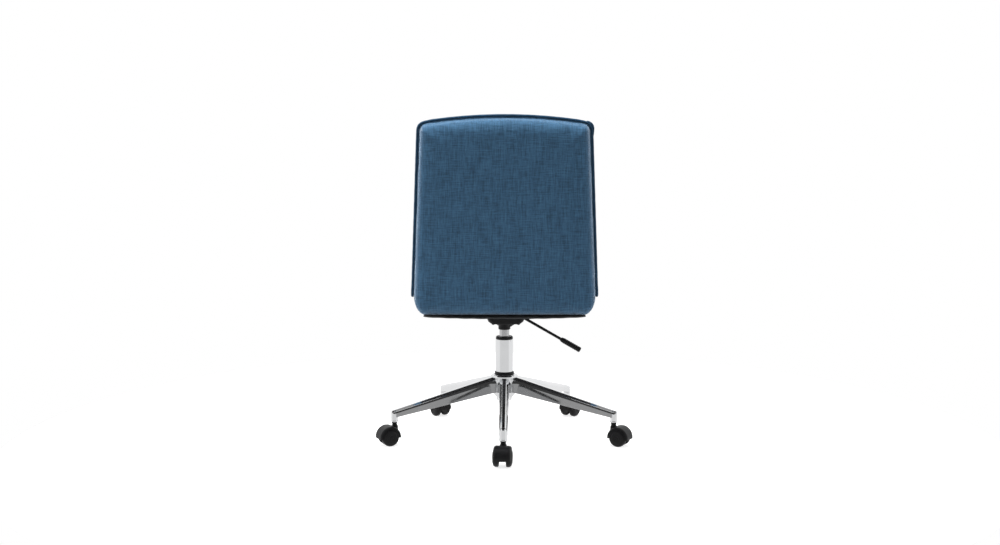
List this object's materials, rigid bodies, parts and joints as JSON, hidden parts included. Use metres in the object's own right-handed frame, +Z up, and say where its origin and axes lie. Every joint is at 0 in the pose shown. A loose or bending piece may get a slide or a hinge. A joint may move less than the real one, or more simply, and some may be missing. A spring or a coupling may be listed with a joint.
{
  "type": "swivel office chair",
  "caption": "Armless swivel office chair with a blue fabric seat and mid-height back in one L, dark corded edge, gas lift, tilt mechanism, star base and hooded twin-wheel casters.",
  "frame": {"origin": "on the floor, on the axis of the column", "axes": "+Z up along the column; the sitter faces -Y, so +Y points out of the rear of the back; -X is the sitter's right, where the lever is"},
  "size_m": [0.7238, 0.6921, 0.9202],
  "materials": {
    "chrome": "polished",
    "black_plastic": "satin",
    "caster_black": "satin",
    "steel": "satin",
    "cylinder_grey": "satin",
    "black_steel": "satin",
    "blue_fabric": "matte",
    "navy_fabric": "matte",
    "black_cloth": "matte",
    "plywood": "matte"
  },
  "bodies": {
    "base": {"base_hub": "chrome", "column_collar": "black_plastic", "outer_tube": "chrome", "guide_ring": "black_plastic", "base_arm_1": "chrome", "base_arm_2": "chrome", "base_arm_3": "chrome", "base_arm_4": "chrome", "base_arm_5": "chrome"},
    "spindle": {"piston_rod": "steel", "thrust_bearing": "steel", "retaining_clip": "steel"},
    "carriage": {"gas_cylinder": "cylinder_grey", "mechanism_housing": "black_steel", "tilt_pin": "steel", "tension_spring": "steel"},
    "valve": {"valve_pin": "black_plastic"},
    "lever": {"lever_rod": "black_steel", "lever_grip": "black_plastic"},
    "seat": {"seat_plate": "black_steel", "seat_bolt_1": "steel", "seat_bolt_2": "steel", "seat_bolt_3": "steel", "seat_bolt_4": "steel", "seat_board": "plywood", "corner_bracket_left": "steel", "corner_bracket_right": "steel", "seat_shell": "blue_fabric", "seat_pad": "blue_fabric", "dust_cover": "black_cloth", "welt": "navy_fabric", "back_shell": "blue_fabric", "back_board": "plywood", "back_pad": "blue_fabric"},
    "knob": {"tension_knob": "black_plastic"},
    "caster_1": {"caster_hood_1": "caster_black", "caster_stem_1": "steel", "caster_axle_1": "steel"},
    "caster_1_left_wheel": {"caster_wheel_1_left": "caster_black"},
    "caster_1_right_wheel": {"caster_wheel_1_right": "caster_black"},
    "caster_2": {"caster_hood_2": "caster_black", "caster_stem_2": "steel", "caster_axle_2": "steel"},
    "caster_2_left_wheel": {"caster_wheel_2_left": "caster_black"},
    "caster_2_right_wheel": {"caster_wheel_2_right": "caster_black"},
    "caster_3": {"caster_hood_3": "caster_black", "caster_stem_3": "steel", "caster_axle_3": "steel"},
    "caster_3_left_wheel": {"caster_wheel_3_left": "caster_black"},
    "caster_3_right_wheel": {"caster_wheel_3_right": "caster_black"},
    "caster_4": {"caster_hood_4": "caster_black", "caster_stem_4": "steel", "caster_axle_4": "steel"},
    "caster_4_left_wheel": {"caster_wheel_4_left": "caster_black"},
    "caster_4_right_wheel": {"caster_wheel_4_right": "caster_black"},
    "caster_5": {"caster_hood_5": "caster_black", "caster_stem_5": "steel", "caster_axle_5": "steel"},
    "caster_5_left_wheel": {"caster_wheel_5_left": "caster_black"},
    "caster_5_right_wheel": {"caster_wheel_5_right": "caster_black"}
  },
  "joints": [
    {"name": "swivel", "type": "hinge", "parent": "base", "child": "spindle", "pos_m": [0, 0, 0.111], "axis": [0, 0, 1], "continuous": true},
    {"name": "height", "type": "slide", "parent": "spindle", "child": "carriage", "axis": [0, 0, 1], "range_m": [-0.01, 0.075]},
    {"name": "valve_press", "type": "slide", "parent": "carriage", "child": "valve", "axis": [0, 0, -1], "range_m": [0, 0.0035]},
    {"name": "lever_lift", "type": "hinge", "parent": "carriage", "child": "lever", "pos_m": [-0.034, 0, 0.356], "axis": [0, 1, 0], "range_deg": [0, 5], "stiffness_Nm_per_rad": 5, "springref_deg": -5.73},
    {"name": "tilt", "type": "hinge", "parent": "carriage", "child": "seat", "pos_m": [0, -0.03, 0.362], "axis": [-1, 0, 0], "range_deg": [0, 10], "stiffness_Nm_per_rad": 80, "springref_deg": -17.19, "deforming": ["tension_spring"]},
    {"name": "tension_turn", "type": "hinge", "parent": "seat", "child": "knob", "pos_m": [0, -0.084, 0.32], "axis": [0, 0, 1], "range_deg": [0, 1080]},
    {"name": "caster_1_swivel", "type": "hinge", "parent": "base", "child": "caster_1", "pos_m": [0.00394, 0.32248, 0.07], "axis": [0, 0, 1], "continuous": true},
    {"name": "caster_1_left_roll", "type": "hinge", "parent": "caster_1", "child": "caster_1_left_wheel", "pos_m": [0.00583, 0.34138, 0.025], "axis": [-0.9951, 0.0993, 0], "continuous": true},
    {"name": "caster_1_right_roll", "type": "hinge", "parent": "caster_1", "child": "caster_1_right_wheel", "pos_m": [0.00583, 0.34138, 0.025], "axis": [-0.9951, 0.0993, 0], "continuous": true},
    {"name": "caster_2_swivel", "type": "hinge", "parent": "base", "child": "caster_2", "pos_m": [-0.30547, 0.1034, 0.07], "axis": [0, 0, 1], "continuous": true},
    {"name": "caster_2_left_roll", "type": "hinge", "parent": "caster_2", "child": "caster_2_left_wheel", "pos_m": [-0.3223, 0.11223, 0.025], "axis": [-0.4648, -0.8854, 0], "continuous": true},
    {"name": "caster_2_right_roll", "type": "hinge", "parent": "caster_2", "child": "caster_2_right_wheel", "pos_m": [-0.3223, 0.11223, 0.025], "axis": [-0.4648, -0.8854, 0], "continuous": true},
    {"name": "caster_3_swivel", "type": "hinge", "parent": "base", "child": "caster_3", "pos_m": [-0.19273, -0.25857, 0.07], "axis": [0, 0, 1], "continuous": true},
    {"name": "caster_3_left_roll", "type": "hinge", "parent": "caster_3", "child": "caster_3_left_wheel", "pos_m": [-0.20409, -0.27381, 0.025], "axis": [0.8018, -0.5976, 0], "continuous": true},
    {"name": "caster_3_right_roll", "type": "hinge", "parent": "caster_3", "child": "caster_3_right_wheel", "pos_m": [-0.20409, -0.27381, 0.025], "axis": [0.8018, -0.5976, 0], "continuous": true},
    {"name": "caster_4_swivel", "type": "hinge", "parent": "base", "child": "caster_4", "pos_m": [0.18636, -0.2632, 0.07], "axis": [0, 0, 1], "continuous": true},
    {"name": "caster_4_left_roll", "type": "hinge", "parent": "caster_4", "child": "caster_4_left_wheel", "pos_m": [0.19734, -0.27871, 0.025], "axis": [0.8161, 0.5779, 0], "continuous": true},
    {"name": "caster_4_right_roll", "type": "hinge", "parent": "caster_4", "child": "caster_4_right_wheel", "pos_m": [0.19734, -0.27871, 0.025], "axis": [0.8161, 0.5779, 0], "continuous": true},
    {"name": "caster_5_swivel", "type": "hinge", "parent": "base", "child": "caster_5", "pos_m": [0.30791, 0.0959, 0.07], "axis": [0, 0, 1], "continuous": true},
    {"name": "caster_5_left_roll", "type": "hinge", "parent": "caster_5", "child": "caster_5_left_wheel", "pos_m": [0.32494, 0.10432, 0.025], "axis": [-0.4431, 0.8965, 0], "continuous": true},
    {"name": "caster_5_right_roll", "type": "hinge", "parent": "caster_5", "child": "caster_5_right_wheel", "pos_m": [0.32494, 0.10432, 0.025], "axis": [-0.4431, 0.8965, 0], "continuous": true}
  ],
  "couplings": [
    {"joint": "valve_press", "follows": "lever_lift", "m_per_rad": 0.0355}
  ]
}
